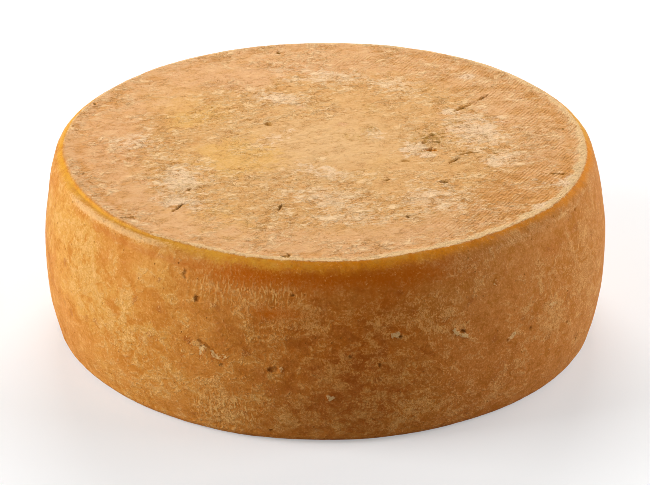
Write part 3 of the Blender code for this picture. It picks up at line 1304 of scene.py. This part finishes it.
        # Browner on the umber marks, and in the ring just inside the rim as painted shade.
        brown = 0.75 * shade.weight("umber_and_shade") - 0.9 * blots + 0.2 * woven
        worn = (crumbs + 0.5 * chips + 0.25 * blots).step(0.02, -0.22)
        pale = (0.85 * crumbs + 0.5 * chips + 0.40 * blots).step(-0.08, 0.20)
        frost = 0.55 * shade.weight("bloom") + 0.75 * crumbs + 0.5 * chips + 0.3 * blots + 0.25 * crust
        colour = shade.mix(shade.weight("middle"), self.tan, self.pale_tan)
        colour = shade.tint(colour, self.golden, golden, 0.05, 0.60, 0.78)
        colour = shade.tint(colour, self.rosy, rosy, 0.05, 0.60, 0.85)
        colour = shade.tint(colour, self.brown, brown, 0.06, 0.7, 0.80)
        # Browner in the low spots of the crust: painted shade.
        colour = shade.mix(worn * shade.blend(crust, 0.24, 0.52), colour, self.brown)
        colour = shade.mix(pale * shade.blend(crust, 0.18, 0.56), colour, self.cream)
        colour = shade.tint(colour, self.frost, frost, 0.30, 0.72, 0.76)
        # Paler on the highest points, partly as painted light on the crests, and darker in the lowest
        # as painted shade.
        colour = shade.mix(0.30 * height.step(0.60, 0.95), colour, self.cream)
        colour = shade.mix(0.55 * height.step(0.05, 0.32, 1.0, 0.0), colour, self.crevice_shade)
        # Darker in the creases: painted shade over their own darker lines.
        colour = shade.mix(creases * shade.blend(crust, 0.30, 0.56), colour, self.crevice_shade)
        # Browner in the grooves between the cloth ribs: painted shade.
        colour = shade.tint(colour, self.brown, ribs, 0.02, -0.40, 0.34)
        colour = shade.mix(0.6 * gaps, colour, self.gap)
        return shade.mix(0.6 * (pebbles.step(0.26, 0.12) * crumble), colour, self.cream), height

    def side_colour(self, shade: Shading, patches: Value, blots: Value, spots: Value) -> tuple:
        """Colours of the side that its marks are laid over.

        Args:
            shade: The nodes' maker.
            patches: Wide noise around 0.
            blots: Middling noise around 0.
            spots: Small noise around 0.

        Returns:
            The side's colour, its pale threads' and its dark places', all darker on the front partly as
            painted shade.
        """
        umber_and_shade = shade.weight("umber_and_shade")
        dusty = shade.weight("dusty")
        golden = 0.9 * shade.weight("gold") + 1.5 * patches + blots
        dust = dusty - 1.2 * patches + 0.5 * blots
        rosy = (patches - 0.7 * blots).step(-0.08, 0.14)
        red = 0.6 * shade.weight("blush") - 1.2 * blots + spots
        base = shade.tint(self.side, self.side_gold, golden, -0.1, 0.5)
        base = shade.tint(base, self.side_dusty, dust, 0.0, 0.9)
        # The front of the side, turned from the lamps, takes darker and redder colours and duller
        # threads, partly as painted shade.
        base = shade.mix(umber_and_shade, base, shade.mix(rosy, self.front, self.front_rosy))
        base = shade.tint(base, self.side_red, red, 0.05, 0.60, 0.7)
        thread = shade.mix(umber_and_shade, self.thread, self.dull_thread)
        thread = shade.mix(0.6 * dusty, thread, self.dusty_thread)
        return base, thread, shade.mix(umber_and_shade, self.side_dark, self.front_dark)

    def side_finish(self, shade: Shading) -> tuple:
        """Colour and fine relief of the side.

        Args:
            shade: The nodes' maker.

        Returns:
            The colour and the relief.
        """
        patches = shade.grain(self.side_patches)
        blots = shade.grain(self.side_blots)
        spots = shade.grain(self.side_spots, shade.stretched((0.8, 0.8, 1.25)))
        streaks = shade.grain(self.side_streaks, shade.stretched((1.0, 1.0, 0.22)))
        specks = shade.grain(self.side_specks)
        cover = 0.45 * shade.weight("bloom") + 1.3 * blots + 0.6 * patches + 1.5 * spots
        cover -= 0.6 * shade.weight("calm")
        flecks = (specks + 0.28 * cover).step(0.15, 0.24)
        drips = streaks.step(0.03, 0.12) * shade.weight("streaked")
        small = self.threads(shade, self.small_threads, 0.0)
        large = self.threads(shade, self.large_threads, self.thread_shift)
        lines = shade.most(small, large) * (cover + 0.8 * specks).step(0.05, 0.28)
        marked = shade.most(flecks, lines, drips)
        mottle = 1.35 * blots + 1.35 * spots + 0.30 * specks
        base, thread, dark = self.side_colour(shade, patches, blots, spots)
        colour = shade.tint(base, dark, mottle, 0.04, -0.32, 0.80)
        colour = shade.tint(colour, thread, mottle, 0.04, 0.40, 0.48)
        colour = shade.tint(colour, dark, specks, 0.02, -0.20, 0.32)
        colour = shade.tint(colour, thread, specks, 0.02, 0.20, 0.26)
        stains, chance = shade.cells(self.stain_size)
        stain = (stains - 0.8 * spots - 0.3 * specks).step(0.20, 0.10) * chance.step(0.45, 0.50)
        # Stains are darker on the front, partly as painted shade.
        stained = shade.mix(shade.weight("umber_and_shade"), self.stain, self.front_dark)
        colour = shade.mix(0.65 * stain, colour, stained)
        colour = shade.mix(0.72 * marked, colour, thread)
        # Bright flecks along the streaks, partly painted glints.
        colour = shade.mix(0.8 * (drips * specks.step(-0.04, 0.10)), colour, self.fleck_and_glint)
        scored = shade.bands(self.line_pitch, self.rings(shade), 1.2) * shade.weight("lined")
        colour = shade.tint(colour, self.side_red, scored, 0.02, 0.45, 0.45)
        dots, number = shade.cells(self.dot_size)
        dot = dots.step(0.07, 0.13, 1.0, 0.0) * number.step(0.62, 0.66)
        colour = shade.mix(0.75 * dot, colour, self.hole)
        height = 0.60 * spots + 0.14 * marked + 0.30 * specks - 0.4 * dot - 0.25 * scored
        smooth = shade.most(shade.weight("honey"), shade.weight("amber"))
        return colour, 0.4 + height * (1.0 - 0.7 * smooth)

    def threads(self, shade: Shading, kind: Noise, shift: float) -> Value:
        """Thin curling threads of dry bloom.

        Args:
            shade: The nodes' maker.
            kind: Noise whose middle level they follow.
            shift: Distance that the pattern is shifted by.

        Returns:
            1 on a thread and 0 beside it.
        """
        loops = shade.grain(kind, shade.stretched((1.0, 1.0, 0.75), shift=shift))
        return abs(loops).step(0.008, 0.045, 1.0, 0.0)

    def rings(self, shade: Shading) -> Socket:
        """Places for lines that run round the wheel.

        Args:
            shade: The nodes' maker.

        Returns:
            The places' socket, whose Y is the height.
        """
        return shade.node("Mapping", {
            "Rotation": (-0.5 * math.pi, 0.0, 0.0), "Scale": (0.1, 1.0, 0.1), "Vector": shade.place,
        }).outputs[0]

    def edge_finish(self, shade: Shading, colour: Socket, grit: Value) -> Socket:
        """Colour of the lip, the honey-coloured shoulder and the ridge, laid over the rest.

        Args:
            shade: The nodes' maker.
            colour: The colour under it.
            grit: Fine noise around 0.

        Returns:
            The colour's socket.
        """
        blots = shade.grain(self.edge_blots)
        honey = (shade.weight("honey") + 1.5 * grit + blots).step(0.0, 1.30, 0.0, 0.95)
        # The honey shoulder is browner on the front, partly as painted shade, and on the dusty right.
        dark = shade.most(shade.weight("umber_and_shade"), shade.weight("dusty"))
        tone = shade.tint(self.honey, self.honey_brown, dark, 0.0, 0.5)
        tone = shade.tint(tone, self.amber, blots, -0.05, -0.22, 0.35)
        tone = shade.tint(tone, self.golden, blots, 0.05, 0.25, 0.35)
        colour = shade.mix(honey, colour, tone)
        # Bright flecks on the amber and honey shoulder are painted glints of its wet sheen; dark amber
        # specks sit beside them.
        flecks_and_glints = shade.most(shade.weight("amber"), 0.8 * honey)
        colour = shade.mix(0.60 * (grit.step(0.14, 0.22) * flecks_and_glints), colour, self.fleck_and_glint)
        colour = shade.mix(0.35 * (grit.step(-0.02, -0.16) * flecks_and_glints), colour, self.amber)
        lip = 0.80 * shade.weight("lip") + 1.4 * grit + 0.7 * blots
        colour = shade.tint(colour, self.pale_lip, lip, 0.24, 0.84, 0.88)
        ridge = 0.75 * shade.weight("ridge") + 1.2 * grit + 0.4 * blots
        return shade.tint(colour, self.ridge_crust, ridge, 0.14, 0.74, 0.82)

    def mark_finish(self, shade: Shading, colour: Socket, flat: Value, grit: Value) -> Socket:
        """Colours of the flakes, the holes and the cracks, laid over the rest.

        Args:
            shade: The nodes' maker.
            colour: The colour under them.
            flat: 1 on the two flat faces and 0 on the side.
            grit: Fine noise around 0.

        Returns:
            The colour's socket.
        """
        weight = shade.weight("flake")
        on_flake = weight.step(0.10, 0.35)
        flake = 0.8 * weight + 3.6 * grit
        colour = shade.mix(0.75 * (flake.step(0.45, 0.95) * on_flake), colour, self.flake)
        # Darker ring round each flake: painted shadow at its raised edge.
        flake_edge_shadow = 0.6 * (flake.step(0.40, 0.10) * on_flake)
        colour = shade.mix(flake_edge_shadow, colour, shade.mix(flat, self.front_dark, self.brown))
        hollow = shade.mix(flat, self.hole, self.olive)
        hollow = shade.mix(shade.math("MINIMUM", shade.weight("red"), 1.0), hollow, self.fallen)
        return shade.mix(shade.math("MINIMUM", shade.weight("hollow"), 1.0), colour, hollow)

    def make(self) -> bpy.types.Material:
        """Build the rind's finish.

        Returns:
            The material.
        """
        shade = Shading("washed_rind")
        face, face_height = self.face_finish(shade)
        side, side_height = self.side_finish(shade)
        flat = shade.weight("face")
        chips = shade.noise(self.grit)
        grit = chips - 0.5
        amber = shade.weight("amber") * (0.9 - 1.6 * grit)
        colour = shade.mix(shade.math("ADD", amber, 0.0, True), side, self.amber)
        colour = shade.mix(flat, colour, face)
        colour = self.mark_finish(shade, self.edge_finish(shade, colour, grit), flat, grit)
        crusty = shade.most(shade.weight("lip"), shade.weight("ridge"))
        height = shade.blend(flat, side_height, face_height) + 1.2 * (grit * crusty)
        rougher = self.roughness + self.uneven_gloss
        smoother = self.roughness - self.uneven_gloss
        return shade.finish({
            "Base Color": colour, "Normal": shade.bump(height, self.relief), "IOR": self.ior,
            "Roughness": chips.step(0.3, 0.7, rougher, smoother), "Specular IOR Level": self.shine,
        })


@dataclass(frozen=True)
class FloorFinish:
    """Dull pale finish of the floor, which the camera sees a little brighter than the wheel does."""

    shown: tuple = (0.62, 0.62, 0.62)
    lit: tuple = (0.60, 0.60, 0.60)
    white: tuple = (1.0, 1.0, 1.0)
    glow: float = 0.36
    roughness: float = 0.9

    def make(self) -> bpy.types.Material:
        """Build the floor's finish.

        Returns:
            The material.
        """
        shade = Shading("studio_floor")
        seen = Value(shade, shade.node("LightPath", {}).outputs["Is Camera Ray"])
        return shade.finish({
            "Base Color": shade.mix(seen, self.lit, self.shown), "Roughness": self.roughness,
            "Emission Color": self.white, "Emission Strength": seen * self.glow,
            "Specular IOR Level": 0.0,
        })


@dataclass
class Studio:
    """Plain pale floor, soft lights and the camera."""

    camera_rise: float = 26.428
    camera_distance: float = 1.8
    camera_target: float = 42.5 * MM
    lens: float = 184.98
    floor_half: float = 6.0
    world_lit: float = 0.03
    world_shown: float = 0.9
    lamps: tuple = (
        ("left", 190.0, 25.0, 24.5), ("left_front", 215.0, 25.0, 3.3), ("back", 90.0, 35.0, 20.5),
        ("right_back", 40.0, 25.0, 6.5), ("right", -6.0, 25.0, 14.3),
    )
    lamp_distance: float = 1.6
    lamp_size: float = 0.9
    sharpness: float = 0.85

    def floor(self) -> None:
        """Pale floor under the wheel."""
        sheet = bmesh.new()
        bmesh.ops.create_grid(sheet, x_segments=1, y_segments=1, size=self.floor_half)
        mesh = bpy.data.meshes.new("floor")
        sheet.to_mesh(mesh)
        sheet.free()
        mesh.materials.append(FloorFinish().make())
        floor = bpy.data.objects.new("floor", mesh)
        bpy.context.scene.collection.objects.link(floor)

    def lamp(self, name: str, degrees: float, rise: float, power: float) -> None:
        """Soft square light that faces the wheel.

        Args:
            name: The light's name.
            degrees: Direction that it stands in, from +X towards +Y.
            rise: Angle above the floor in degrees.
            power: Its power in watts.
        """
        light = bpy.data.lights.new(name, "AREA")
        light.shape = "SQUARE"
        light.size = self.lamp_size
        light.energy = power
        lamp = bpy.data.objects.new(name, light)
        turn = math.radians(degrees)
        lift = math.radians(rise)
        flat = self.lamp_distance * math.cos(lift)
        up = self.lamp_distance * math.sin(lift)
        lamp.location = (flat * math.cos(turn), flat * math.sin(turn), up)
        lamp.rotation_euler = (0.5 * math.pi - lift, 0.0, turn + 0.5 * math.pi)
        bpy.context.scene.collection.objects.link(lamp)

    def world(self) -> None:
        """Pale surroundings, which only the camera sees at their full brightness."""
        world = bpy.data.worlds.new("studio")
        bpy.context.scene.world = world
        world.use_nodes = True
        tree = world.node_tree
        rays = tree.nodes.new("ShaderNodeLightPath")
        shown = tree.nodes.new("ShaderNodeMapRange")
        tree.links.new(rays.outputs["Is Camera Ray"], shown.inputs["Value"])
        shown.inputs["To Min"].default_value = self.world_lit
        shown.inputs["To Max"].default_value = self.world_shown
        tree.links.new(shown.outputs["Result"], tree.nodes["Background"].inputs["Strength"])
        tree.nodes["Background"].inputs["Color"].default_value = (1.0, 1.0, 1.0, 1.0)

    def camera(self) -> None:
        """Camera in front of the wheel, looking down on it."""
        data = bpy.data.cameras.new("camera")
        data.lens = self.lens
        data.sensor_width = 36.0
        data.clip_end = 50.0
        camera = bpy.data.objects.new("camera", data)
        rise = math.radians(self.camera_rise)
        reach = self.camera_distance
        camera.location = (0.0, -reach * math.cos(rise), self.camera_target + reach * math.sin(rise))
        camera.rotation_euler = (0.5 * math.pi - rise, 0.0, 0.0)
        bpy.context.scene.collection.objects.link(camera)
        bpy.context.scene.camera = camera

    def build(self) -> None:
        """Set up the whole studio."""
        self.floor()
        self.world()
        for lamp in self.lamps:
            self.lamp(*lamp)
        self.camera()
        scene = bpy.context.scene
        scene.view_settings.view_transform = "Standard"
        scene.cycles.filter_width = self.sharpness
        scene.cycles.denoising_prefilter = "NONE"


def main() -> None:
    """Build the cheese and its studio, and report each piece."""
    logging.basicConfig(level=logging.INFO, format="%(name)s: %(message)s")
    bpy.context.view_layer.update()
    low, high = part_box(NODE)
    outline = Outline(radius=0.5 * (high.x - low.x) - PROUD, height=high.z - low.z - PROUD)
    rind = Rind(outline, fineness=9)
    wheel = rind.build(np.array(low), np.array(high))
    rind.dress(wheel)
    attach(wheel, "root")
    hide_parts(NODE)
    log.info("%s: %d triangles", wheel.name, len(wheel.data.polygons))
    Studio().build()


if __name__ == "__main__":
    main()
